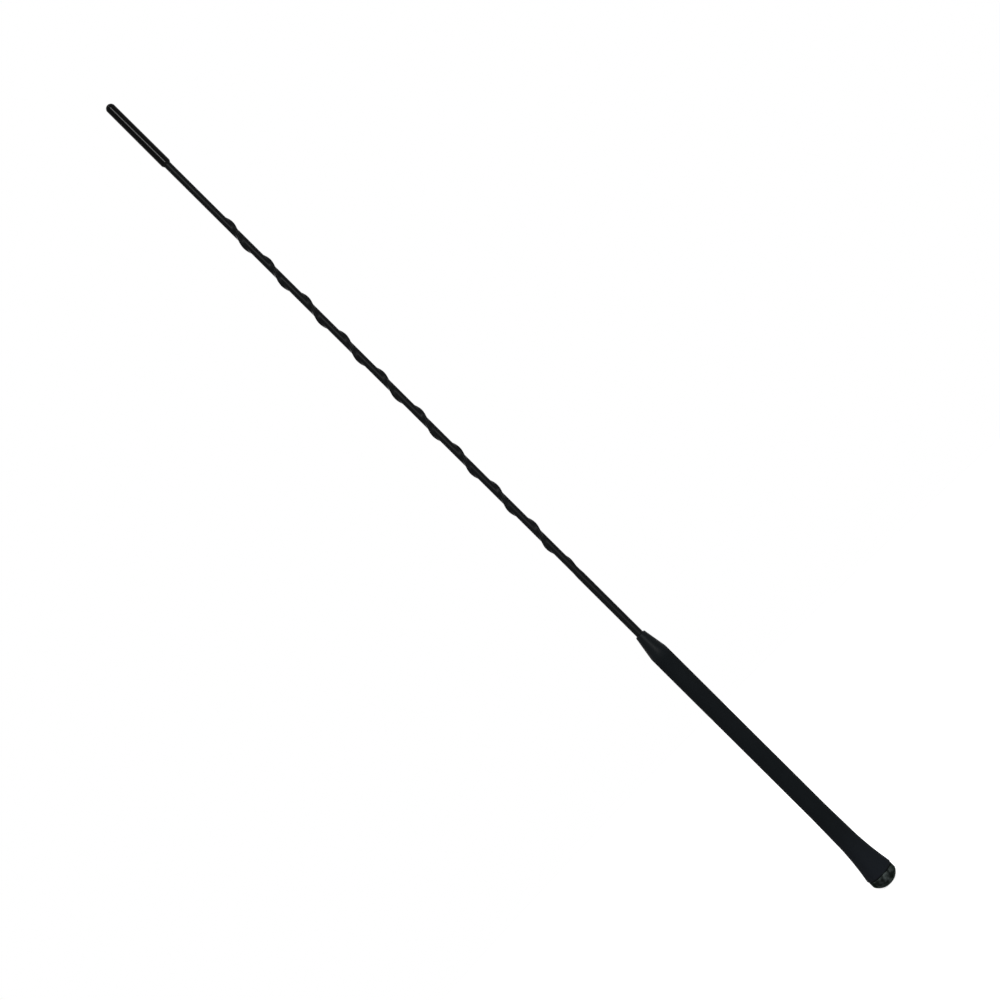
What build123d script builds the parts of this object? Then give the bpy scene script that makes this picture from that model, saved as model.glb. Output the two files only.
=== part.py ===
"""Screw-on mast aerial for a car roof.

A steel whip stands in a black sleeve, on which a spiral ridge breaks up the wind. A cap closes the tip.
A moulded grip flares down to a turned foot, whose threaded hole takes the stud of the roof base.
The origin is the middle of the foot's end face, and +Z runs up to the tip. All sizes are millimetres.
"""
import os
from math import acos, cos, radians, sin, sqrt, tan

from build123d import *

# Whole mast
overall_length = 550.0

# Steel core
core_diameter = 2.5

# Sleeve on the core
sheath_wall = 0.68
sheath_root_wall = 0.86
sheath_root_taper = 3.0
sheath_in_grip = 25.0

# Ridge wound round the sleeve
ridge_height = 0.93
ridge_round = 0.92  # radius of the crest that the flats of the ridge wrap
ridge_pitch = 26.6
ridge_phase = -28.0  # degrees from +X at the lower end of the full ridge
ridge_bite = 0.12  # how deep the feet of the flanks are sunk in the sleeve
ridge_run_out = 3.0  # length in which the ridge dies away at each end
ridge_sunk = 0.06  # how deep the crest lies in the sleeve where the run-out stops
run_out_steps = 3
plain_above_grip = 47.6
plain_below_cap = 37.5

# Cap on the tip
cap_length = 42.0
cap_wall = 0.7
cap_crown_wall = 4.0
cap_mouth_chamfer = 0.35
cap_fit = 0.02

# Moulded grip
grip_length = 168.4
grip_diameter = 10.1
nose_wall = 0.77
nose_length = 13.0
nose_blend = 10.0
flare_length = 42.9
flare_knee_height = 14.6  # from the rim's plane up to where the two tapers of the flare meet
flare_knee_rise = 0.52
flare_blend = 130.0
rim_overhang = 0.25  # how far the corner of the rim, before it is rounded, stands out past the collar
rim_height = 0.9  # from the rim's plane up to that corner
rim_round = 1.2

# Turned foot
collar_diameter = 15.0
collar_length = 6.8
collar_face_diameter = 5.8
collar_dome_radius = 8.7
collar_dome_flats = 3  # short tapers that the round of the domed end is made of
groove_width = 0.4
groove_depth = 1.0
neck_in_grip = 3.0
hexagon_across_flats = 7.0
hexagon_length = 14.5
key_groove_width = 3.0
key_groove_depth = 0.7
tail_diameter = 5.0
tail_length = 12.0
core_seat_depth = 14.0
thread_crest_diameter = 4.2  # the plain bore that an M5 thread is cut in
thread_depth = 12.0
thread_lead_in = 0.4
drill_point_angle = 118.0

# Radii
core_radius = core_diameter / 2
sheath_radius = core_radius + sheath_wall
sheath_root_radius = core_radius + sheath_root_wall
cap_bore_radius = sheath_radius + cap_fit
cap_radius = cap_bore_radius + cap_wall
grip_radius = grip_diameter / 2
nose_radius = sheath_root_radius + nose_wall
collar_radius = collar_diameter / 2
collar_face_radius = collar_face_diameter / 2
neck_radius = collar_radius - groove_depth
thread_crest_radius = thread_crest_diameter / 2

# Heights
dome_centre = sqrt(collar_dome_radius**2 - collar_face_radius**2)
dome_top = dome_centre - sqrt(collar_dome_radius**2 - collar_radius**2)
grip_foot = collar_length + groove_width
grip_nose = grip_foot + grip_length
neck_top = grip_foot + neck_in_grip
hexagon_top = neck_top + hexagon_length
key_groove_foot = neck_top + (hexagon_length - key_groove_width) / 2
tail_top = hexagon_top + tail_length
core_foot = tail_top - core_seat_depth
drill_point_top = thread_depth + thread_crest_radius / tan(radians(drill_point_angle / 2))
cap_mouth = overall_length - cap_length
crown_foot = overall_length - cap_radius
rod_top = overall_length - cap_crown_wall
sheath_foot = grip_nose - sheath_in_grip
ridge_foot = grip_nose + plain_above_grip
ridge_top = cap_mouth - plain_below_cap
taper_top = ridge_foot - ridge_run_out

os.makedirs("parts", exist_ok=True)


def turned_plane(height):
    """The level plane at a height, turned so that its X axis points at the ridge."""
    angle = radians(ridge_phase + 360 * (height - ridge_foot) / ridge_pitch)
    return Plane(origin=(0, 0, height), x_dir=(cos(angle), sin(angle), 0), z_dir=(0, 0, 1))


def ridge_section(sunk=0.0):
    """Section of the ridge: three flats that wrap its round crest, and a flank down each side.

    The flanks are drawn tight from the crest to the round of the sleeve, and their feet lie a little
    inside it. The crest is lowered by the depth that is given, and the feet stay.
    """
    offset = sheath_radius + ridge_height - ridge_round
    flank = acos((sheath_radius - ridge_round) / offset)
    half_flat = flank / 4
    corner_radius = ridge_round / cos(half_flat)
    foot_radius = sheath_radius - ridge_bite
    crest = []
    for turn in (-3 * half_flat, -half_flat, half_flat, 3 * half_flat):
        crest.append((offset - sunk + corner_radius * cos(turn), corner_radius * sin(turn)))
    feet = [(foot_radius * cos(turn), foot_radius * sin(turn)) for turn in (-flank, flank)]
    with BuildLine() as outline:
        Polyline(feet[0], *crest, feet[1], close=True)
    make_face(outline.edges())


# Blank of the turned foot, before it is bored: collar, groove, neck, keyed hexagon and tail
with BuildPart() as foot_blank:
    with BuildSketch(Plane.XZ):
        with BuildLine():
            dome = RadiusArc(
                (collar_face_radius, 0),
                (collar_radius, dome_top),
                -collar_dome_radius,
                mode=Mode.PRIVATE,
            )
            Polyline(
                (0, 0),
                *[dome @ (corner / collar_dome_flats) for corner in range(collar_dome_flats + 1)],
                (collar_radius, collar_length),
                (neck_radius, collar_length),
                (neck_radius, neck_top),
                (0, neck_top),
                close=True,
            )
        make_face()
    revolve(axis=Axis.Z)
    with BuildSketch(Plane.XY.offset(neck_top)):
        RegularPolygon(hexagon_across_flats / 2, 6, major_radius=False)
    extrude(amount=hexagon_length)
    with BuildSketch(Plane.XY.offset(key_groove_foot)):
        Circle(hexagon_across_flats)
        Circle(hexagon_across_flats / 2 - key_groove_depth, mode=Mode.SUBTRACT)
    extrude(amount=key_groove_width, mode=Mode.SUBTRACT)
    with BuildSketch(Plane.XY.offset(hexagon_top)):
        Circle(tail_diameter / 2)
    extrude(amount=tail_length)

# Turned foot, with the threaded hole below and the seat of the core above
with BuildPart() as base_socket:
    add(foot_blank.part)
    with BuildSketch(Plane.XZ):
        with BuildLine():
            Polyline(
                (0, 0),
                (thread_crest_radius + thread_lead_in, 0),
                (thread_crest_radius, thread_lead_in),
                (thread_crest_radius, thread_depth),
                (0, drill_point_top),
                close=True,
            )
        make_face()
    revolve(axis=Axis.Z, mode=Mode.SUBTRACT)
    with BuildSketch(Plane.XY.offset(core_foot)):
        Circle(core_radius)
    extrude(amount=core_seat_depth, mode=Mode.SUBTRACT)

# Steel core, from its seat in the foot up to the crown of the cap
with BuildPart() as whip_core:
    with BuildSketch(Plane.XY.offset(core_foot)):
        Circle(core_radius)
    extrude(amount=rod_top - core_foot)

# Ridge: its section turned on the way up, with a run-out into the sleeve at each end
with BuildLine() as ridge_rise:
    Line((0, 0, ridge_foot), (0, 0, ridge_top))
with BuildLine(turned_plane(ridge_foot)) as ridge_turn:
    Helix(ridge_pitch, ridge_top - ridge_foot, sheath_radius)
with BuildPart() as ridge:
    with BuildSketch(turned_plane(ridge_foot)):
        ridge_section()
    sweep(path=ridge_rise.wires()[0], binormal=ridge_turn.edges()[0])
    for full_end, way in ((ridge_foot, -1), (ridge_top, 1)):
        for step in range(run_out_steps + 1):
            share = step / run_out_steps
            with BuildSketch(turned_plane(full_end + way * share * ridge_run_out)):
                ridge_section(share * (ridge_height + ridge_sunk))
        loft(ruled=True)

# Sleeve with a swollen root, the ridge on it, and the bore for the core
with BuildPart() as whip_sheath:
    with BuildSketch(Plane.XZ):
        with BuildLine():
            Polyline(
                (0, sheath_foot),
                (sheath_root_radius, sheath_foot),
                (sheath_root_radius, taper_top - sheath_root_taper),
                (sheath_radius, taper_top),
                (sheath_radius, rod_top),
                (0, rod_top),
                close=True,
            )
        make_face()
    revolve(axis=Axis.Z)
    add(ridge.part)
    with BuildSketch(Plane.XY.offset(sheath_foot)):
        Circle(core_radius)
    extrude(amount=rod_top - sheath_foot, mode=Mode.SUBTRACT)

# Cap: a round crown, and a blind bore for the sheathed rod
with BuildPart() as tip_cap:
    with BuildSketch(Plane.XZ):
        with BuildLine():
            side = Polyline((0, cap_mouth), (cap_radius, cap_mouth), (cap_radius, crown_foot))
            crown = CenterArc((0, crown_foot), cap_radius, 0, 90)
            Line(crown @ 1, side @ 0)
        make_face()
    revolve(axis=Axis.Z)
    chamfer(tip_cap.edges().filter_by(GeomType.CIRCLE).group_by(Axis.Z)[0], cap_mouth_chamfer)
    with BuildSketch(Plane.XY.offset(cap_mouth)):
        Circle(cap_bore_radius)
    extrude(amount=rod_top - cap_mouth, mode=Mode.SUBTRACT)

# Grip, moulded round the foot, the bare core and the root of the sleeve
with BuildPart() as grip:
    with BuildSketch(Plane.XZ):
        with BuildLine():
            side = FilletPolyline(
                (collar_radius, grip_foot),
                (collar_radius + rim_overhang, grip_foot + rim_height),
                (grip_radius + flare_knee_rise, grip_foot + flare_knee_height),
                (grip_radius, grip_foot + flare_length),
                (grip_radius, grip_nose - nose_length),
                (nose_radius, grip_nose),
                radius=(rim_round, flare_blend, 0, nose_blend),
            )
            Polyline(side @ 1, (0, grip_nose), (0, grip_foot), side @ 0)
        make_face()
    revolve(axis=Axis.Z)
    add(foot_blank.part, mode=Mode.SUBTRACT)
    with BuildSketch(Plane.XY.offset(core_foot)):
        Circle(core_radius)
    extrude(amount=grip_nose - core_foot, mode=Mode.SUBTRACT)
    with BuildSketch(Plane.XY.offset(sheath_foot)):
        Circle(sheath_root_radius)
    extrude(amount=sheath_in_grip, mode=Mode.SUBTRACT)

pieces = {
    "base_socket": base_socket,
    "whip_core": whip_core,
    "whip_sheath": whip_sheath,
    "tip_cap": tip_cap,
    "grip": grip,
}
for name, piece in pieces.items():
    piece.part.label = name
    export_step(piece.part, f"parts/{name}.step")
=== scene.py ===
"""Looks of a screw-on mast aerial for a car roof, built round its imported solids.

The mast stands in its own frame, foot at the origin and tip up +Z. Lengths are written in millimetres
and turned to metres where a mesh, a pattern or a lamp takes them. The camera is rolled, because the
photograph shows the mast lying across the picture from corner to corner.
"""
import logging
import math
from collections.abc import Callable
from dataclasses import dataclass
from enum import Enum
from typing import Any

import bmesh
import bpy
from mathutils import Matrix, Vector

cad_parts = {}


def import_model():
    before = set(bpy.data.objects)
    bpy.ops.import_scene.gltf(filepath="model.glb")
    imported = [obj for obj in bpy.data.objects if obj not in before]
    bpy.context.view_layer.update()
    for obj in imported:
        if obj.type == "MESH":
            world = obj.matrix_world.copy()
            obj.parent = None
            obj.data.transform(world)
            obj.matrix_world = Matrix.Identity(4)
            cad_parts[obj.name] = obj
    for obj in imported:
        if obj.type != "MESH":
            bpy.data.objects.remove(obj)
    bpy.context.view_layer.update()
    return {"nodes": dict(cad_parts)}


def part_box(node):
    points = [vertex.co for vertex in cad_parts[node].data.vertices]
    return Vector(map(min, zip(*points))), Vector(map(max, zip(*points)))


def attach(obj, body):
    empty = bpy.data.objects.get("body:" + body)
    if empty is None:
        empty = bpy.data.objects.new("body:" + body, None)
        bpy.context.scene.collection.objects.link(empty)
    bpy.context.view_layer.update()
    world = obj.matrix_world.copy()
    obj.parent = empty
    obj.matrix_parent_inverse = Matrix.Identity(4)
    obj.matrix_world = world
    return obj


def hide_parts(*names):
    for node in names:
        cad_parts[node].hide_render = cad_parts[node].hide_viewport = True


LOG = logging.getLogger("mast_aerial")
MM = 0.001
BODY = "root"
SAME_PLACE = 0.0005  # millimetres within which a vertex counts as lying on a ring or a level
WHITE = "ffffff"
NOISE_LOW, NOISE_HIGH = 0.3, 0.7  # a noise texture seldom leaves this range
TRIANGLE_REACH = 2 / 3  # from the middle of an even triangle to a corner, as a share of its height

# A Mix node has sockets of the same names for each kind of value, so those for colours go by number.
MIX_SHARE, MIX_FIRST, MIX_SECOND, MIX_RESULT = 0, 6, 7, 2

Colour = tuple[float, float, float, float]
Ring = tuple[float, float]  # radius and level
Size = tuple[float, float]  # width and height
Pixel = tuple[float, float]
Place = tuple[float, float, float]
Turn = tuple[float, float, float]  # radians about X, Y and Z
Tree = bpy.types.NodeTree
Socket = bpy.types.NodeSocket
Piece = bpy.types.Object


class Slot(Enum):
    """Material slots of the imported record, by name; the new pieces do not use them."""

    CAP = "gloss_cap"
    SLEEVE = "shrunk_sheath"
    GRIP = "moulded_grip"
    FOOT = "plated_foot"


def linear(hex_colour: str) -> Colour:
    """Turns an sRGB hex colour to linear light.

    Args:
        hex_colour: Six hex digits, such as "0c0f12".

    Returns:
        Red, green, blue and an alpha of 1.
    """
    shares = [int(hex_colour[place:place + 2], 16) / 255 for place in (0, 2, 4)]
    red, green, blue = [s / 12.92 if s <= 0.04045 else ((s + 0.055) / 1.055) ** 2.4 for s in shares]
    return red, green, blue, 1.0


def add_node(
    tree: Tree, kind: str, inputs: dict[str | int, Any] | None = None, **settings: Any
) -> bpy.types.Node:
    """Adds a node, sets it and links it.

    Args:
        tree: Node tree that gets the node.
        kind: Blender's type name of the node.
        inputs: Values or output sockets for the node's inputs, by name or number.
        settings: Properties of the node itself.

    Returns:
        The new node.
    """
    node = tree.nodes.new(kind)
    for name, value in settings.items():
        setattr(node, name, value)
    for name, value in (inputs or {}).items():
        if isinstance(value, Socket):
            tree.links.new(value, node.inputs[name])
        else:
            node.inputs[name].default_value = value
    return node


@dataclass(frozen=True)
class Envelope:
    """Room that a solid of the frame takes, in millimetres."""

    foot: float
    top: float
    radius: float

    @classmethod
    def of(cls, node: str) -> "Envelope":
        """Measures a node of the frame.

        Args:
            node: Name of the node.

        Returns:
            Its lowest and highest level, and the radius that fits inside its box on every side.
        """
        low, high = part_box(node)
        radius = min(-low.x, -low.y, high.x, high.y)
        return cls(low.z / MM, high.z / MM, radius / MM)


@dataclass(frozen=True)
class Round:
    """Round of an edge: its radius in millimetres, and the facets that draw it."""

    blend: float
    steps: int


@dataclass(frozen=True)
class Finish:
    """A finish: the material's name and shader, and a pattern that each kind of finish draws."""

    name: str
    hex_colour: str
    roughness: float
    specular: float = 0.5
    metallic: float = 0.0
    edge_hex: str = WHITE

    def build(self) -> bpy.types.Material:
        """Makes the material with its shader and its pattern.

        Returns:
            The material.
        """
        material = bpy.data.materials.new(self.name)
        material.use_nodes = True
        tree = material.node_tree
        shader = tree.nodes["Principled BSDF"]
        shader.inputs["Base Color"].default_value = linear(self.hex_colour)
        shader.inputs["Roughness"].default_value = self.roughness
        shader.inputs["Specular IOR Level"].default_value = self.specular
        shader.inputs["Metallic"].default_value = self.metallic
        shader.inputs["Specular Tint"].default_value = linear(self.edge_hex)
        place = add_node(tree, "ShaderNodeTexCoord").outputs["Object"]
        for socket, output in self.pattern(tree, place).items():
            tree.links.new(output, shader.inputs[socket])
        return material

    def pattern(self, tree: Tree, place: Socket) -> dict[str, Socket]:
        """Draws the pattern of the surface.

        Args:
            tree: Node tree of the material.
            place: Output with the place on the piece, in metres.

        Returns:
            Outputs of the pattern, by the shader's input that each drives.
        """
        raise NotImplementedError


# Moulded PVC out of a polished mould: deep black, with a thin sharp highlight that handling has hazed.
@dataclass(frozen=True)
class PolishedPvc(Finish):
    """Pattern of the cap: haze in the gloss, and the slight ripple of a thin moulding."""

    haze_width: float = 3.0
    haze_detail: float = 3.0
    haze: float = 0.02
    ripple_width: float = 1.5
    ripple_detail: float = 1.0
    ripple_height: float = 0.004

    def pattern(self, tree: Tree, place: Socket) -> dict[str, Socket]:
        """Draws haze into the gloss and ripple into the surface.

        Args:
            tree: Node tree of the material.
            place: Output with the place on the piece, in metres.

        Returns:
            Outputs for gloss and surface, by the shader's input.
        """
        clouds = {"Vector": place, "Scale": 1 / (self.haze_width * MM), "Detail": self.haze_detail}
        cloud = add_node(tree, "ShaderNodeTexNoise", clouds).outputs["Fac"]
        glosses = {
            "Value": cloud,
            "From Min": NOISE_LOW,
            "From Max": NOISE_HIGH,
            "To Min": self.roughness - self.haze,
            "To Max": self.roughness + self.haze,
        }
        gloss = add_node(tree, "ShaderNodeMapRange", glosses).outputs["Result"]
        waves = {"Vector": place, "Scale": 1 / (self.ripple_width * MM), "Detail": self.ripple_detail}
        wave = add_node(tree, "ShaderNodeTexNoise", waves).outputs["Fac"]
        relief = add_node(tree, "ShaderNodeBump", {"Height": wave, "Distance": self.ripple_height * MM})
        return {"Roughness": gloss, "Normal": relief.outputs["Normal"]}


# Polyolefin shrunk on hot: satin black, with fine lines along the sleeve and duller clouds.
@dataclass(frozen=True)
class ShrunkPolyolefin(Finish):
    """Pattern of the sleeve: lines drawn out along it, and clouds of duller, paler plastic."""

    pale_hex: str = "07090a"
    cloud_width: float = 5.0
    cloud_detail: float = 3.0
    cloud: float = 0.06
    line_width: float = 0.5  # real lines are near 0.1, which is too fine to show
    line_length: float = 15.0
    line_detail: float = 2.0
    line_height: float = 0.012

    def pattern(self, tree: Tree, place: Socket) -> dict[str, Socket]:
        """Draws the clouds into colour and gloss, and the lines into the surface.

        Args:
            tree: Node tree of the material.
            place: Output with the place on the piece, in metres.

        Returns:
            Outputs for colour, gloss and surface, by the shader's input.
        """
        clouds = {"Vector": place, "Scale": 1 / (self.cloud_width * MM), "Detail": self.cloud_detail}
        cloud = add_node(tree, "ShaderNodeTexNoise", clouds).outputs["Fac"]
        tints = {
            MIX_SHARE: cloud,
            MIX_FIRST: linear(self.hex_colour),
            MIX_SECOND: linear(self.pale_hex),
        }
        tint = add_node(tree, "ShaderNodeMix", tints, data_type="RGBA").outputs[MIX_RESULT]
        glosses = {
            "Value": cloud,
            "From Min": NOISE_LOW,
            "From Max": NOISE_HIGH,
            "To Min": self.roughness - self.cloud,
            "To Max": self.roughness + self.cloud,
        }
        gloss = add_node(tree, "ShaderNodeMapRange", glosses).outputs["Result"]
        stretch = (1, 1, self.line_width / self.line_length)
        along = add_node(tree, "ShaderNodeMapping", {"Vector": place, "Scale": stretch}).outputs["Vector"]
        lines = {"Vector": along, "Scale": 1 / (self.line_width * MM), "Detail": self.line_detail}
        line = add_node(tree, "ShaderNodeTexNoise", lines).outputs["Fac"]
        relief = add_node(tree, "ShaderNodeBump", {"Height": line, "Distance": self.line_height * MM})
        return {"Base Color": tint, "Roughness": gloss, "Normal": relief.outputs["Normal"]}


# Moulded thermoplastic rubber: matte blue-black, grained by an eroded mould, rubbed grey at its rim.
@dataclass(frozen=True)
class MouldedRubber(Finish):
    """Pattern of the grip: mould grain, faint bloom, a paler worn rim and a smoother nose."""

    bloom_hex: str = "0f1214"
    bloom_width: float = 12.0
    bloom_detail: float = 4.0
    worn_hex: str = "14171b"
    worn_from: float = 46.0  # level below which the wear sets in
    worn_full: float = 10.0
    smooth_from: float = 158.0  # level above which the mould was polished
    smooth_full: float = 166.0
    smooth: float = 0.46  # how much roughness the polish takes away
    grain_width: float = 0.7  # real grain is near 0.2, which is too fine to show
    grain_detail: float = 2.0
    grain_height: float = 0.03

    def pattern(self, tree: Tree, place: Socket) -> dict[str, Socket]:
        """Draws bloom and wear into the colour, polish into the gloss and grain into the surface.

        Args:
            tree: Node tree of the material.
            place: Output with the place on the piece, in metres.

        Returns:
            Outputs for colour, gloss and surface, by the shader's input.
        """
        eased = {"interpolation_type": "SMOOTHSTEP"}
        blooms = {"Vector": place, "Scale": 1 / (self.bloom_width * MM), "Detail": self.bloom_detail}
        bloom = add_node(tree, "ShaderNodeTexNoise", blooms).outputs["Fac"]
        tints = {
            MIX_SHARE: bloom,
            MIX_FIRST: linear(self.hex_colour),
            MIX_SECOND: linear(self.bloom_hex),
        }
        tint = add_node(tree, "ShaderNodeMix", tints, data_type="RGBA").outputs[MIX_RESULT]
        height = add_node(tree, "ShaderNodeSeparateXYZ", {"Vector": place}).outputs["Z"]
        wears = {"Value": height, "From Min": self.worn_from * MM, "From Max": self.worn_full * MM}
        wear = add_node(tree, "ShaderNodeMapRange", wears, **eased).outputs["Result"]
        worn = {MIX_SHARE: wear, MIX_FIRST: tint, MIX_SECOND: linear(self.worn_hex)}
        colour = add_node(tree, "ShaderNodeMix", worn, data_type="RGBA").outputs[MIX_RESULT]
        grains = {"Vector": place, "Scale": 1 / (self.grain_width * MM), "Detail": self.grain_detail}
        grain = add_node(tree, "ShaderNodeTexNoise", grains).outputs["Fac"]
        relief = add_node(tree, "ShaderNodeBump", {"Height": grain, "Distance": self.grain_height * MM})
        glosses = {
            "Value": height,
            "From Min": self.smooth_from * MM,
            "From Max": self.smooth_full * MM,
            "To Min": self.roughness,
            "To Max": self.roughness - self.smooth,
        }
        gloss = add_node(tree, "ShaderNodeMapRange", glosses, **eased).outputs["Result"]
        return {"Base Color": colour, "Roughness": gloss, "Normal": relief.outputs["Normal"]}


# Turned brass under black nickel: dark grey gloss, pale at glancing edges, smeared, with tool rings.
@dataclass(frozen=True)
class BlackNickel(Finish):
    """Pattern of the foot: rings of the turning tool, and smears that dull and lighten the plating."""

    smear_hex: str = "323736"
    smear_width: float = 2.2
    smear_detail: float = 2.0
    smear_from: float = 0.43  # value of the noise at which a smear begins
    smear_full: float = 0.66
    smear: float = 0.08
    ring_pitch: float = 0.4  # the real feed is near 0.1, which is too fine to show
    ring_height: float = 0.003

    def pattern(self, tree: Tree, place: Socket) -> dict[str, Socket]:
        """Draws the smears into colour and gloss, and the tool rings into the surface.

        Args:
            tree: Node tree of the material.
            place: Output with the place on the piece, in metres.

        Returns:
            Outputs for colour, gloss and surface, by the shader's input.
        """
        smears = {"Vector": place, "Scale": 1 / (self.smear_width * MM), "Detail": self.smear_detail}
        cloud = add_node(tree, "ShaderNodeTexNoise", smears).outputs["Fac"]
        shares = {"Value": cloud, "From Min": self.smear_from, "From Max": self.smear_full}
        share = add_node(tree, "ShaderNodeMapRange", shares).outputs["Result"]
        tints = {
            MIX_SHARE: share,
            MIX_FIRST: linear(self.hex_colour),
            MIX_SECOND: linear(self.smear_hex),
        }
        tint = add_node(tree, "ShaderNodeMix", tints, data_type="RGBA").outputs[MIX_RESULT]
        glosses = {
            "Value": share,
            "To Min": self.roughness - self.smear,
            "To Max": self.roughness + self.smear,
        }
        gloss = add_node(tree, "ShaderNodeMapRange", glosses).outputs["Result"]
        height = add_node(tree, "ShaderNodeSeparateXYZ", {"Vector": place}).outputs["Z"]
        turns = {0: height, 1: 2 * math.pi / (self.ring_pitch * MM)}
        turn = add_node(tree, "ShaderNodeMath", turns, operation="MULTIPLY").outputs["Value"]
        ring = add_node(tree, "ShaderNodeMath", {0: turn}, operation="SINE").outputs["Value"]
        relief = add_node(tree, "ShaderNodeBump", {"Height": ring, "Distance": self.ring_height * MM})
        return {"Base Color": tint, "Roughness": gloss, "Normal": relief.outputs["Normal"]}


# Bright drawn spring steel: grey, with die lines along the wire.
@dataclass(frozen=True)
class DrawnSteel(Finish):
    """Pattern of the core: lines of the drawing die."""

    line_width: float = 0.2  # real die lines are near 0.05, which is too fine to show
    line_length: float = 12.0
    line_detail: float = 2.0
    line_height: float = 0.005

    def pattern(self, tree: Tree, place: Socket) -> dict[str, Socket]:
        """Draws the die lines into the surface.

        Args:
            tree: Node tree of the material.
            place: Output with the place on the piece, in metres.

        Returns:
            The output for the surface, by the shader's input.
        """
        stretch = (1, 1, self.line_width / self.line_length)
        along = add_node(tree, "ShaderNodeMapping", {"Vector": place, "Scale": stretch}).outputs["Vector"]
        lines = {"Vector": along, "Scale": 1 / (self.line_width * MM), "Detail": self.line_detail}
        line = add_node(tree, "ShaderNodeTexNoise", lines).outputs["Fac"]
        relief = add_node(tree, "ShaderNodeBump", {"Height": line, "Distance": self.line_height * MM})
        return {"Normal": relief.outputs["Normal"]}


def add_circle(
    name: str,
    corners: int,
    radius: float,
    place: Place,
    turned: Turn = (0.0, 0.0, 0.0),
    filled: bool = False,
) -> Piece:
    """Adds a circle as the start of a piece, with its place in its mesh.

    Args:
        name: Name of the piece.
        corners: Vertices of the circle.
        radius: Its radius in millimetres.
        place: Its middle in millimetres.
        turned: Its turn.
        filled: Whether it is a disc.

    Returns:
        The circle, which is selected and active.
    """
    bpy.ops.object.select_all(action="DESELECT")
    bpy.ops.mesh.primitive_circle_add(
        vertices=corners,
        radius=radius * MM,
        fill_type="NGON" if filled else "NOTHING",
        location=[step * MM for step in place],
        rotation=turned,
    )
    bpy.ops.object.transform_apply(location=True, rotation=True, scale=True)
    circle = bpy.context.object
    circle.name = name
    circle.data.name = name
    return circle


def pick_only(piece: Piece) -> None:
    """Makes a piece the only one selected, and the active one.

    Args:
        piece: The piece.
    """
    bpy.ops.object.select_all(action="DESELECT")
    piece.select_set(True)
    bpy.context.view_layer.objects.active = piece


def pick_edges(piece: Piece, wanted: Callable[[Vector], bool]) -> None:
    """Selects the edges of a piece whose two ends are wanted, and no others.

    Args:
        piece: The piece, in edit mode.
        wanted: Tells whether a point, in metres, is wanted.
    """
    bpy.ops.mesh.select_all(action="DESELECT")
    drawn = bmesh.from_edit_mesh(piece.data)
    for edge in drawn.edges:
        if all(wanted(vertex.co) for vertex in edge.verts):
            edge.select_set(True)
    bmesh.update_edit_mesh(piece.data)


def leave_edit_mode() -> None:
    """Turns all faces of the piece in edit mode outwards, and goes back to object mode."""
    bpy.ops.mesh.select_all(action="SELECT")
    bpy.ops.mesh.normals_make_consistent(inside=False)
    bpy.ops.object.mode_set(mode="OBJECT")


def wind_up(piece: Piece, turns: float, pitch: float, steps_per_turn: int) -> None:
    """Winds an outline up the mast, right-handed.

    Args:
        piece: The outline, which becomes the wound surface.
        turns: How many times it goes round.
        pitch: Rise of a turn, in millimetres.
        steps_per_turn: Facets of a turn.
    """
    wind = piece.modifiers.new("wind", "SCREW")
    wind.axis = "Z"
    wind.angle = 2 * math.pi * turns
    wind.screw_offset = turns * pitch * MM
    wind.steps = round(turns * steps_per_turn)
    wind.render_steps = wind.steps
    wind.use_normal_flip = True
    pick_only(piece)
    bpy.ops.object.modifier_apply(modifier=wind.name)


def mount(piece: Piece, node: str, finish: Finish) -> None:
    """Dresses a piece and puts it in the place of its solid.

    Args:
        piece: The finished piece.
        node: Node of the frame that it stands for.
        finish: Its finish.
    """
    piece.data.materials.clear()
    piece.data.materials.append(finish.build())
    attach(piece, BODY)
    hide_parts(node)
    LOG.info("%s: %d faces for %s", piece.name, len(piece.data.polygons), node)


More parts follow.
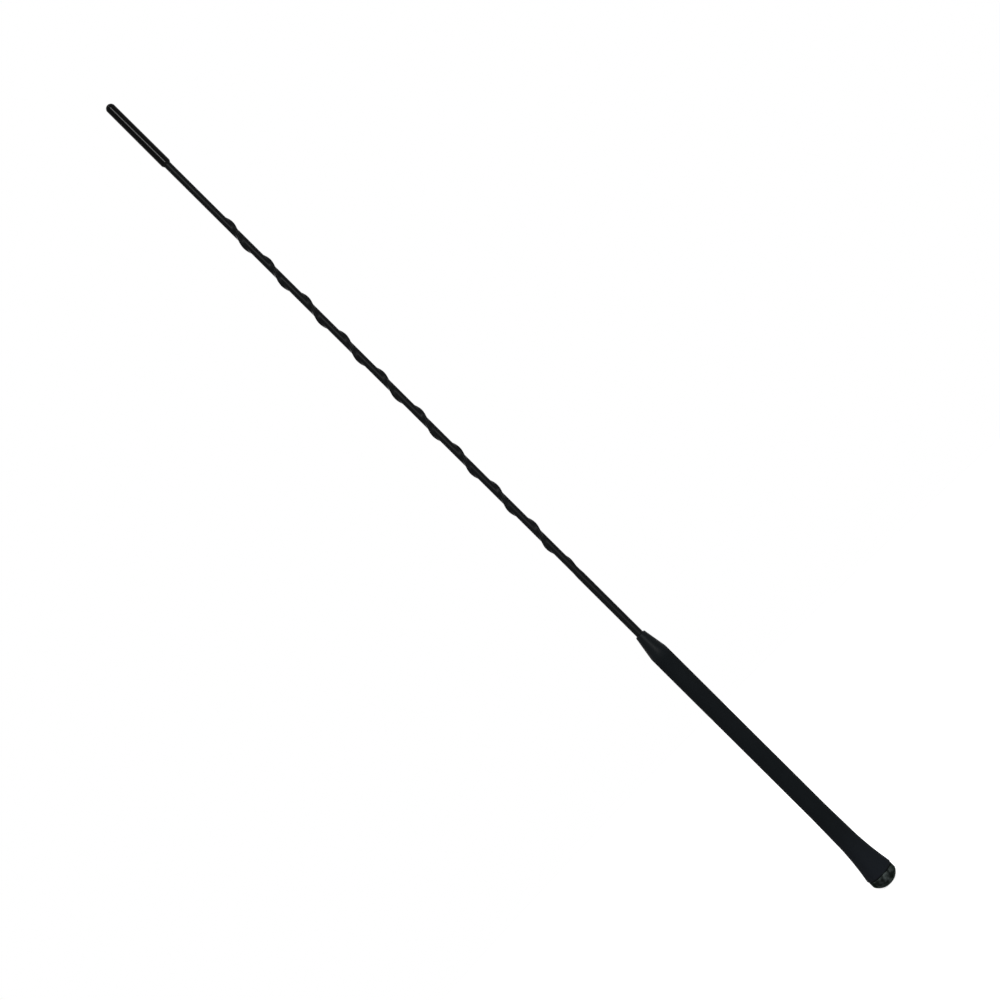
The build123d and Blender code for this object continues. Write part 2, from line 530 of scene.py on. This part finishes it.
class RingModeller:
    """Shapes a turned piece from one circle, whose open ring is extruded and resized step by step."""

    smooth_angle: float = math.radians(32)

    def __init__(self, name: str, segments: int, start: Ring) -> None:
        """Adds the first ring.

        Args:
            name: Name of the piece.
            segments: Vertices of the ring.
            start: Radius and level of the first ring, in millimetres.
        """
        radius, height = start
        self.piece = add_circle(name, segments, radius, (0, 0, height))
        self.outline = [start]
        bpy.ops.object.mode_set(mode="EDIT")
        bpy.ops.mesh.select_mode(type="EDGE")
        bpy.ops.mesh.select_all(action="SELECT")

    def draw(self, *rings: Ring) -> "RingModeller":
        """Extrudes the open ring through the next rings of the outline.

        Args:
            rings: Radius and level of each ring, in millimetres. A radius of 0 closes the outline.

        Returns:
            The modeller, so that steps can follow each other.
        """
        for radius, height in rings:
            last_radius, last_height = self.outline[-1]
            rise = (height - last_height) * MM
            bpy.ops.mesh.extrude_region_move(TRANSFORM_OT_translate={"value": (0, 0, rise)})
            if radius:
                share = radius / last_radius
                bpy.ops.transform.resize(value=(share, share, 1), center_override=(0, 0, height * MM))
            else:
                bpy.ops.mesh.merge(type="CENTER")
            self.outline.append((radius, height))
        return self

    def draw_other_way(self, *rings: Ring) -> "RingModeller":
        """Goes on from the first ring, at the outline's other end.

        Args:
            rings: Radius and level of each ring, in millimetres.

        Returns:
            The modeller.
        """
        self.pick_ring(self.outline[0])
        self.outline.reverse()
        return self.draw(*rings)

    def close(self) -> "RingModeller":
        """Brings the open ring back to the first one and joins the two.

        Returns:
            The modeller.
        """
        self.draw(self.outline[0])
        bpy.ops.mesh.select_all(action="SELECT")
        bpy.ops.mesh.remove_doubles(threshold=SAME_PLACE * MM)
        return self

    def pick_ring(self, ring: Ring) -> None:
        """Selects the edges of a ring, given in millimetres."""
        pick_edges(self.piece, lambda point: self.lies_on(point, ring))

    @staticmethod
    def lies_on(point: Vector, ring: Ring) -> bool:
        """Whether a point, in metres, lies on a ring, in millimetres."""
        off_radius = abs(point.xy.length / MM - ring[0])
        return max(off_radius, abs(point.z / MM - ring[1])) < SAME_PLACE

    def round_ring(self, ring: Ring, edge: Round) -> "RingModeller":
        """Rounds the corner that the outline has at a ring.

        Args:
            ring: Radius and level of the ring, in millimetres.
            edge: The round that it gets.

        Returns:
            The modeller.
        """
        place = self.outline.index(ring)
        before, corner, after = [Vector(self.outline[place + step]) for step in (-1, 0, 1)]
        turn = (corner - before).angle(after - corner)
        self.pick_ring(ring)
        bpy.ops.mesh.bevel(
            offset_type="OFFSET",
            offset=edge.blend * math.tan(turn / 2) * MM,
            segments=edge.steps,
            profile=0.5,
            affect="EDGES",
            clamp_overlap=False,
        )
        return self

    def finish(self) -> Piece:
        """Leaves edit mode and shades the piece, so that long faces look straight.

        Returns:
            The finished piece.
        """
        leave_edit_mode()
        bpy.ops.object.shade_smooth_by_angle(angle=self.smooth_angle)
        even = self.piece.modifiers.new("even_shading", "WEIGHTED_NORMAL")
        even.keep_sharp = True
        pick_only(self.piece)
        bpy.ops.object.modifier_apply(modifier=even.name)
        return self.piece


@dataclass
class TipCap:
    """Cap pushed on to the end of the rod: round crown, slight draft, tapered mouth."""

    room: Envelope
    draft: float = 0.11
    crown_flat: float = 0.06
    crown_steps: int = 16
    mouth_lip: float = 0.14
    mouth_taper: float = 0.95
    mouth_round: Round = Round(1.0, 6)
    lip_round: Round = Round(0.1, 4)
    wall: float = 0.7
    crown_wall: float = 4.0
    segments: int = 96
    finish: Finish = PolishedPvc("moulded_pvc_polished", "020202", 0.13, specular=0.055)

    def build(self) -> None:
        """Models the cap with its blind bore, and dresses it."""
        mouth = (self.room.radius, self.room.foot + self.mouth_taper)
        crown = (self.room.radius - self.draft, self.room.top)
        bore = self.room.radius - self.wall
        bore_end = self.room.top - self.crown_wall
        lip = (bore + self.mouth_lip, self.room.foot)
        lathe = RingModeller("tip_cap_moulding", self.segments, (bore, self.room.foot))
        lathe.draw(lip, mouth, crown, (0, self.room.top))
        lathe.round_ring(crown, Round(crown[0] - self.crown_flat, self.crown_steps))
        lathe.round_ring(mouth, self.mouth_round)
        lathe.round_ring(lip, self.lip_round)
        lathe.draw_other_way((bore, bore_end), (0, bore_end))
        mount(lathe.finish(), "tip_cap", self.finish)


@dataclass
class Sleeve:
    """Sleeve of the rod: plain at both ends, with a spiral ridge wound right-handed between them."""

    room: Envelope
    bore: float
    radius: float = 1.93
    root_swell: float = 0.18
    root_taper: float = 3.0
    ridge_height: float = 0.93
    ridge_round: float = 0.92
    ridge_pitch: float = 26.6
    ridge_phase: float = -28.0  # degrees from +X at the level of the ridge's foot
    ridge_foot: float = 223.2
    ridge_top: float = 470.5
    run_out: float = 3.0
    foot_fade: float = 7.8  # how far up the ridge is thinner at its lower end
    segments: int = 72
    steps_per_turn: int = 48
    smooth_angle: float = math.radians(40)
    finish: Finish = ShrunkPolyolefin("polyolefin_shrunk", "040506", 0.4, specular=0.055)

    def build(self) -> None:
        """Models the sleeve, raises its ridge and root, bores it and dresses it."""
        piece = self.wind_wall()
        self.raise_part(piece, "root", self.root_swell, self.root_share)
        self.raise_part(piece, "ridge", self.ridge_height, self.ridge_share)
        self.close_round_bore(piece)
        mount(piece, "whip_sheath", self.finish)

    def wind_wall(self) -> Piece:
        """Winds one circle up the mast, so that the columns of the mesh follow the ridge.

        Returns:
            The open wall of the sleeve.
        """
        turned = (0, 0, math.radians(self.ridge_angle(self.room.foot)))
        piece = add_circle("sleeve_with_ridge", self.segments, self.radius, (0, 0, self.room.foot), turned)
        turns = (self.room.top - self.room.foot) / self.ridge_pitch
        wind_up(piece, turns, self.ridge_pitch, self.steps_per_turn)
        return piece

    def ridge_angle(self, height: float) -> float:
        """Degrees from +X at which the ridge stands at a level in millimetres."""
        return self.ridge_phase + 360 * (height - self.ridge_foot) / self.ridge_pitch

    def root_share(self, point: Vector) -> float:
        """Share of the root's swelling at a point of the wall.

        Args:
            point: The point in metres.

        Returns:
            From 0 on the slim sleeve to 1 on its root.
        """
        taper_top = self.ridge_foot - self.run_out
        share = (taper_top - point.z / MM) / self.root_taper
        return min(max(share, 0.0), 1.0)

    def ridge_share(self, point: Vector) -> float:
        """Share of the ridge's height at a point of the wall.

        The ridge has a round crest, and straight flanks drawn tight from it to the round of the sleeve.

        Args:
            point: The point in metres.

        Returns:
            From 0 on the plain sleeve to 1 on the crest.
        """
        height = point.z / MM
        from_foot = (height - self.ridge_foot + self.run_out) / (self.run_out + self.foot_fade)
        from_top = (self.ridge_top + self.run_out - height) / self.run_out
        lift = min(max(min(from_foot, from_top), 0.0), 1.0)
        turn = math.degrees(math.atan2(point.y, point.x)) - self.ridge_angle(height)
        away = math.radians(abs((turn + 180) % 360 - 180))
        offset = self.radius + self.ridge_height - self.ridge_round
        flank = math.acos((self.radius - self.ridge_round) / offset)
        crest_x = offset + self.ridge_round * math.cos(flank)
        crest_y = self.ridge_round * math.sin(flank)
        if away >= flank:
            reach = self.radius
        elif away >= math.atan2(crest_y, crest_x):
            reach = self.radius / math.cos(flank - away)
        else:
            across = offset * math.sin(away)
            reach = offset * math.cos(away) + math.sqrt(self.ridge_round**2 - across**2)
        return lift * (reach - self.radius) / self.ridge_height

    def raise_part(self, piece: Piece, name: str, height: float, share: Callable[[Vector], float]) -> None:
        """Raises the wall where a weight says so.

        Args:
            piece: The wall.
            name: Name of the raised part.
            height: Full height in millimetres.
            share: Gives the share of the height at a point.
        """
        group = piece.vertex_groups.new(name=name)
        for vertex in piece.data.vertices:
            group.add([vertex.index], share(vertex.co), "REPLACE")
        lift = piece.modifiers.new(name, "DISPLACE")
        lift.direction = "NORMAL"
        lift.vertex_group = name
        lift.mid_level = 0.0
        lift.strength = height * MM
        pick_only(piece)
        bpy.ops.object.modifier_apply(modifier=lift.name)

    def close_round_bore(self, piece: Piece) -> None:
        """Closes the wall at both ends, round the bore that takes the core, and shades it.

        Args:
            piece: The wall.
        """
        share = self.bore / self.radius
        length = (self.room.top - self.room.foot) * MM
        bpy.ops.object.mode_set(mode="EDIT")
        bpy.ops.mesh.select_mode(type="EDGE")
        self.pick_level(piece, self.room.top)
        bpy.ops.mesh.extrude_region_move(TRANSFORM_OT_translate={"value": (0, 0, 0)})
        bpy.ops.transform.resize(value=(share, share, 1), center_override=(0, 0, self.room.top * MM))
        bpy.ops.mesh.extrude_region_move(TRANSFORM_OT_translate={"value": (0, 0, -length)})
        self.pick_level(piece, self.room.foot)
        bpy.ops.mesh.bridge_edge_loops()
        leave_edit_mode()
        bpy.ops.object.shade_smooth_by_angle(angle=self.smooth_angle)

    def pick_level(self, piece: Piece, level: float) -> None:
        """Selects the edges of the wall that lie at a level, given in millimetres."""
        pick_edges(piece, lambda point: abs(point.z / MM - level) < SAME_PLACE)


@dataclass
class Grip:
    """Moulded grip: nose cone, long round body, trumpet flare and a rounded rim."""

    room: Envelope
    sleeve_foot: float
    core_radius: float
    foot: "Foot"
    body_radius: float = 5.05
    nose_radius: float = 2.88
    nose_hole_radius: float = 2.11
    nose_length: float = 13.0
    nose_round: Round = Round(0.55, 5)
    shoulder_round: Round = Round(10.0, 8)
    flare_length: float = 42.9
    knee_height: float = 14.6
    knee_rise: float = 0.52
    knee_round: Round = Round(130.0, 16)
    rim_corner: float = 0.02  # how far the rim's corner stands out before it is rounded
    rim_height: float = 0.9
    rim_round: Round = Round(1.2, 10)
    rim_edge: Round = Round(0.15, 5)
    segments: int = 128
    finish: Finish = MouldedRubber("thermoplastic_rubber_moulded", "0b0e10", 0.88, specular=0.045)

    def build(self) -> None:
        """Models the outside from rim to nose, then the room inside, and dresses the grip."""
        foot, nose = self.room.foot, self.room.top
        edge = (self.foot.room.radius, foot)
        rim = (self.room.radius + self.rim_corner, foot + self.rim_height)
        knee = (self.body_radius + self.knee_rise, foot + self.knee_height)
        shoulder = (self.body_radius, nose - self.nose_length)
        tip = (self.nose_radius, nose)
        lathe = RingModeller("grip_moulding", self.segments, (self.foot.neck_radius, foot))
        lathe.draw(edge, rim, knee, (self.body_radius, foot + self.flare_length), shoulder, tip)
        lathe.draw((self.nose_hole_radius, nose), (self.nose_hole_radius, self.sleeve_foot))
        lathe.draw((self.core_radius, self.sleeve_foot))
        self.hollow_for_foot(lathe)
        lathe.round_ring(edge, self.rim_edge)
        lathe.round_ring(rim, self.rim_round)
        lathe.round_ring(knee, self.knee_round)
        lathe.round_ring(shoulder, self.shoulder_round)
        lathe.round_ring(tip, self.nose_round)
        mount(lathe.finish(), "grip", self.finish)

    def hollow_for_foot(self, lathe: RingModeller) -> None:
        """Goes on down the inside, round the tail, the key and the neck of the foot.

        Args:
            lathe: Modeller whose open ring is in the hole of the core.
        """
        inside = self.foot
        lathe.draw((self.core_radius, inside.room.top), (inside.tail_radius, inside.room.top))
        lathe.draw((inside.tail_radius, inside.key_top), (inside.key_radius, inside.key_top))
        lathe.draw((inside.key_radius, inside.neck_top), (inside.neck_radius, inside.neck_top))
        lathe.close()


@dataclass
class Foot:
    """Turned foot: domed collar, groove, neck, keyed hexagon, tail, and a threaded hole."""

    room: Envelope
    core_radius: float
    collar_length: float = 6.8
    collar_edge: Round = Round(0.15, 5)
    face_radius: float = 2.9
    face_edge: Round = Round(0.8, 4)
    dome_radius: float = 8.7
    dome_ease: float = 0.8  # share of the dome's arc that its edge rounds leave
    dome_steps: int = 12
    dome_edge: Round = Round(2.0, 4)
    neck_radius: float = 6.5
    neck_top: float = 10.2
    key_sides: int = 6
    key_radius: float = 4.041
    key_length: float = 14.5
    key_groove_radius: float = 3.23
    key_groove_width: float = 3.0
    key_bore_radius: float = 2.9
    seat_bore_radius: float = 2.0
    tail_radius: float = 2.5
    tail_segments: int = 48
    core_seat_depth: float = 14.0
    shell_overlap: float = 0.1  # how deep the shells of the foot are sunk in each other
    thread_radius: float = 2.5
    thread_height: float = 0.4
    thread_root: float = 0.03  # how deep the tooth is sunk in the wall
    thread_corners: int = 3
    thread_pitch: float = 0.8
    thread_depth: float = 12.0
    thread_lead_in: float = 0.2
    thread_spare: float = 0.5  # turns that stay bare at the hole's end
    thread_steps: int = 40
    drill_rise: float = 1.3
    drill_cover: float = 1.3  # metal above the drill point
    segments: int = 96
    finish: Finish = BlackNickel(
        "brass_turned_black_nickel", "101312", 0.42, metallic=1.0, edge_hex="b4b6b4"
    )

    @property
    def key_top(self) -> float:
        """Level of the hexagon's upper end."""
        return self.neck_top + self.key_length

    @property
    def plug_top(self) -> float:
        """Level up to which the collar's shell fills the hexagon, above the drill point."""
        return self.thread_depth + self.drill_rise + self.drill_cover

    @property
    def seat_foot(self) -> float:
        """Level on which the core stands."""
        return self.room.top - self.core_seat_depth

    def build(self) -> None:
        """Models the shells of the foot, joins them and dresses them."""
        shells = [self.turn_collar(), self.cut_key(), self.turn_tail(), self.cut_thread()]
        bpy.ops.object.select_all(action="DESELECT")
        for shell in shells:
            shell.select_set(True)
        bpy.context.view_layer.objects.active = shells[0]
        bpy.ops.object.join()
        mount(shells[0], "base_socket", self.finish)

    def turn_collar(self) -> Piece:
        """Turns the collar and the neck, from the drilled hole outwards.

        Returns:
            The closed shell.
        """
        collar = self.room.radius
        face = (self.face_radius, 0)
        face_slope = math.asin(self.face_radius / self.dome_radius)
        collar_slope = math.asin(collar / self.dome_radius)
        dome_height = self.dome_radius * (math.cos(face_slope) - math.cos(collar_slope))
        reach = self.dome_radius * math.tan((collar_slope - face_slope) / 2)
        dome_corner = (self.face_radius + reach * math.cos(face_slope), reach * math.sin(face_slope))
        dome_end = (collar, dome_height)
        top = (collar, self.collar_length)
        hole_end = (self.thread_radius, self.thread_depth)
        hole_mouth = (self.thread_radius + self.thread_lead_in, 0)
        plug = self.key_bore_radius + self.shell_overlap
        lathe = RingModeller("foot_turning", self.segments, hole_end)
        lathe.draw((self.thread_radius, self.thread_lead_in), hole_mouth)
        lathe.draw(face, dome_corner, dome_end, top, (self.neck_radius, self.collar_length))
        lathe.draw((self.neck_radius, self.neck_top), (plug, self.neck_top))
        lathe.draw((plug, self.plug_top), (0, self.plug_top))
        lathe.round_ring(dome_corner, Round(self.dome_radius * self.dome_ease, self.dome_steps))
        lathe.round_ring(dome_end, self.dome_edge)
        lathe.round_ring(face, self.face_edge)
        lathe.round_ring(top, self.collar_edge)
        lathe.draw_other_way((0, self.thread_depth + self.drill_rise))
        return lathe.finish()

    def cut_key(self) -> Piece:
        """Cuts the hexagon with its groove, which keys the moulding.

        Returns:
            The closed shell.
        """
        foot = self.neck_top - self.shell_overlap
        groove_foot = (self.neck_top + self.key_top - self.key_groove_width) / 2
        groove_top = groove_foot + self.key_groove_width
        bore_top = self.plug_top - self.shell_overlap
        lathe = RingModeller("foot_key", self.key_sides, (self.key_radius, foot))
        lathe.draw((self.key_radius, groove_foot), (self.key_groove_radius, groove_foot))
        lathe.draw((self.key_groove_radius, groove_top), (self.key_radius, groove_top))
        lathe.draw((self.key_radius, self.key_top), (self.seat_bore_radius, self.key_top))
        lathe.draw((self.seat_bore_radius, self.seat_foot), (0, self.seat_foot))
        lathe.draw_other_way((self.key_bore_radius, foot), (self.key_bore_radius, bore_top))
        lathe.draw((0, bore_top))
        return lathe.finish()

    def turn_tail(self) -> Piece:
        """Turns the tail, with the seat of the core in it.

        Returns:
            The closed shell.
        """
        foot = self.seat_foot - self.shell_overlap
        lathe = RingModeller("foot_tail", self.tail_segments, (self.core_radius, foot))
        lathe.draw((self.tail_radius, foot), (self.tail_radius, self.room.top))
        lathe.draw((self.core_radius, self.room.top)).close()
        return lathe.finish()

    def cut_thread(self) -> Piece:
        """Winds one tooth up the hole as the thread.

        Returns:
            The closed coil.
        """
        tooth = TRIANGLE_REACH * self.thread_height
        level = self.thread_lead_in + self.thread_pitch
        place = (self.thread_radius + self.thread_root - tooth / 2, 0, level)
        upright = (math.pi / 2, -math.pi / 2, 0)
        coil = add_circle("foot_thread", self.thread_corners, tooth, place, upright)
        turns = int((self.thread_depth - level) / self.thread_pitch - self.thread_spare)
        wind_up(coil, turns, self.thread_pitch, self.thread_steps)
        bpy.ops.object.mode_set(mode="EDIT")
        bpy.ops.mesh.select_all(action="SELECT")
        bpy.ops.mesh.fill_holes(sides=self.thread_corners)
        leave_edit_mode()
        return coil


@dataclass
class Core:
    """Steel rod inside, which keeps its solid."""

    node: Piece
    finish: Finish = DrawnSteel("spring_steel_drawn", "b4b4b6", 0.3, metallic=1.0)

    def dress(self) -> None:
        """Gives the rod its steel."""
        self.node.data.materials.clear()
        self.node.data.materials.append(self.finish.build())
        LOG.info("%s: dressed", self.node.name)


@dataclass(frozen=True)
class Softbox:
    """A soft lamp: its place, its width and height in millimetres, and its power."""

    name: str
    place: Place
    size: Size
    watts: float


@dataclass
class Studio:
    """White floor, soft lamps and the camera of the photograph."""

    length: float
    picture: float = 1000.0  # pixels each way
    picture_middle: float = 499.5  # pixel centres run from 0 to 999
    tip_pixel: Pixel = (106.9, 104.7)
    foot_pixel: Pixel = (889.15, 881.76)
    lens: float = 80.0
    sensor: float = 36.0
    floor_radius: float = 900.0
    floor_drop: float = 0.2
    floor_segments: int = 96
    paper_hex: str = "e6e6e6"
    floor_glow: float = 0.8
    ambient: float = 0.15
    lamp_target: Place = (0.0, 0.0, 400.0)
    # The cap mirrors the key, sleeve and nose mirror the strip, and the others light crown and back.
    softboxes: tuple[Softbox, ...] = (
        Softbox("key_softbox", (180.0, -1200.0, 810.0), (320.0, 240.0), 8.4),
        Softbox("strip_softbox", (180.0, -1200.0, 330.0), (450.0, 720.0), 7.1),
        Softbox("crown_softbox", (60.0, -520.0, 1500.0), (320.0, 320.0), 3.5),
        Softbox("back_softbox", (-500.0, 1200.0, 1100.0), (1100.0, 1100.0), 6.0),
    )

    def build(self) -> None:
        """Sets up floor, world, lamps and camera."""
        self.lay_floor()
        self.light_world()
        for softbox in self.softboxes:
            self.hang_lamp(softbox)
        self.set_camera()
        bpy.context.scene.view_settings.view_transform = "Standard"

    @staticmethod
    def background_rays(tree: Tree) -> Socket:
        """Tells the rays that see the white background from those that only carry light.

        Args:
            tree: Node tree of the floor or of the world.

        Returns:
            Output that is 1 for camera, glossy and transmission rays.
        """
        path = add_node(tree, "ShaderNodeLightPath").outputs
        shiny = {0: path["Is Glossy Ray"], 1: path["Is Transmission Ray"]}
        mirrored = add_node(tree, "ShaderNodeMath", shiny, operation="MAXIMUM").outputs["Value"]
        seen = {0: path["Is Camera Ray"], 1: mirrored}
        return add_node(tree, "ShaderNodeMath", seen, operation="MAXIMUM").outputs["Value"]

    def lay_floor(self) -> None:
        """Lays a white floor that still takes the shadow of the mast."""
        place = (0, 0, -self.floor_drop)
        floor = add_circle("studio_floor", self.floor_segments, self.floor_radius, place, filled=True)
        material = bpy.data.materials.new("paper_floor_white")
        material.use_nodes = True
        tree = material.node_tree
        tree.nodes.clear()
        paper = add_node(tree, "ShaderNodeBsdfDiffuse", {"Color": linear(self.paper_hex)}).outputs["BSDF"]
        glow = add_node(tree, "ShaderNodeEmission", {"Strength": self.floor_glow}).outputs["Emission"]
        lit = add_node(tree, "ShaderNodeAddShader", {0: paper, 1: glow}).outputs["Shader"]
        seen = {0: self.background_rays(tree), 1: paper, 2: lit}
        mixed = add_node(tree, "ShaderNodeMixShader", seen).outputs["Shader"]
        add_node(tree, "ShaderNodeOutputMaterial", {"Surface": mixed})
        floor.data.materials.append(material)

    def light_world(self) -> None:
        """Lights the studio softly all round, in front of a white background."""
        world = bpy.data.worlds.new("studio_world")
        bpy.context.scene.world = world
        world.use_nodes = True
        tree = world.node_tree
        tree.nodes.clear()
        soft = {"Color": linear(WHITE), "Strength": self.ambient}
        lighting = add_node(tree, "ShaderNodeBackground", soft).outputs["Background"]
        plain = {"Color": linear(WHITE), "Strength": 1.0}
        background = add_node(tree, "ShaderNodeBackground", plain).outputs["Background"]
        seen = {0: self.background_rays(tree), 1: lighting, 2: background}
        mixed = add_node(tree, "ShaderNodeMixShader", seen).outputs["Shader"]
        add_node(tree, "ShaderNodeOutputWorld", {"Surface": mixed})

    def hang_lamp(self, softbox: Softbox) -> None:
        """Hangs a softbox and turns it to the mast.

        Args:
            softbox: The lamp.
        """
        data = bpy.data.lights.new(softbox.name, "AREA")
        data.shape = "RECTANGLE"
        data.size, data.size_y = [side * MM for side in softbox.size]
        data.energy = softbox.watts
        lamp = bpy.data.objects.new(softbox.name, data)
        place = Vector(softbox.place)
        lamp.location = place * MM
        lamp.rotation_mode = "QUATERNION"
        lamp.rotation_quaternion = (place - Vector(self.lamp_target)).to_track_quat("Z", "Y")
        bpy.context.scene.collection.objects.link(lamp)

    def set_camera(self) -> None:
        """Sets the camera square to the mast, rolled and placed as in the photograph."""
        tip, foot = Vector(self.tip_pixel), Vector(self.foot_pixel)
        rise = tip - foot
        scale = self.length / rise.length
        along = rise.normalized()
        right = Vector((-along.y, 0, along.x))
        up = Vector((-along.x, 0, -along.y))
        back = right.cross(up)
        middle = (tip + foot) / 2
        aim = Vector((0, 0, self.length / 2))
        aim += right * (self.picture_middle - middle.x) * scale
        aim += up * (middle.y - self.picture_middle) * scale
        away = self.picture * scale * self.lens / self.sensor
        data = bpy.data.cameras.new("photo_camera")
        data.lens = self.lens
        data.sensor_width = self.sensor
        camera = bpy.data.objects.new("photo_camera", data)
        axes = Matrix((right, up, back)).transposed().to_4x4()
        camera.matrix_world = Matrix.Translation((aim + back * away) * MM) @ axes
        bpy.context.scene.collection.objects.link(camera)
        bpy.context.scene.camera = camera


def main() -> None:
    """Builds the mast from the tip down, then the studio round it."""
    logging.basicConfig(level=logging.INFO, format="%(name)s %(message)s")
    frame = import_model()
    core_radius = Envelope.of("whip_core").radius
    sleeve_room = Envelope.of("whip_sheath")
    cap_room = Envelope.of("tip_cap")
    TipCap(cap_room).build()
    Sleeve(sleeve_room, core_radius).build()
    foot = Foot(Envelope.of("base_socket"), core_radius)
    Grip(Envelope.of("grip"), sleeve_room.foot, core_radius, foot).build()
    foot.build()
    Core(frame["nodes"]["whip_core"]).dress()
    Studio(cap_room.top).build()


if __name__ == "__main__":
    main()
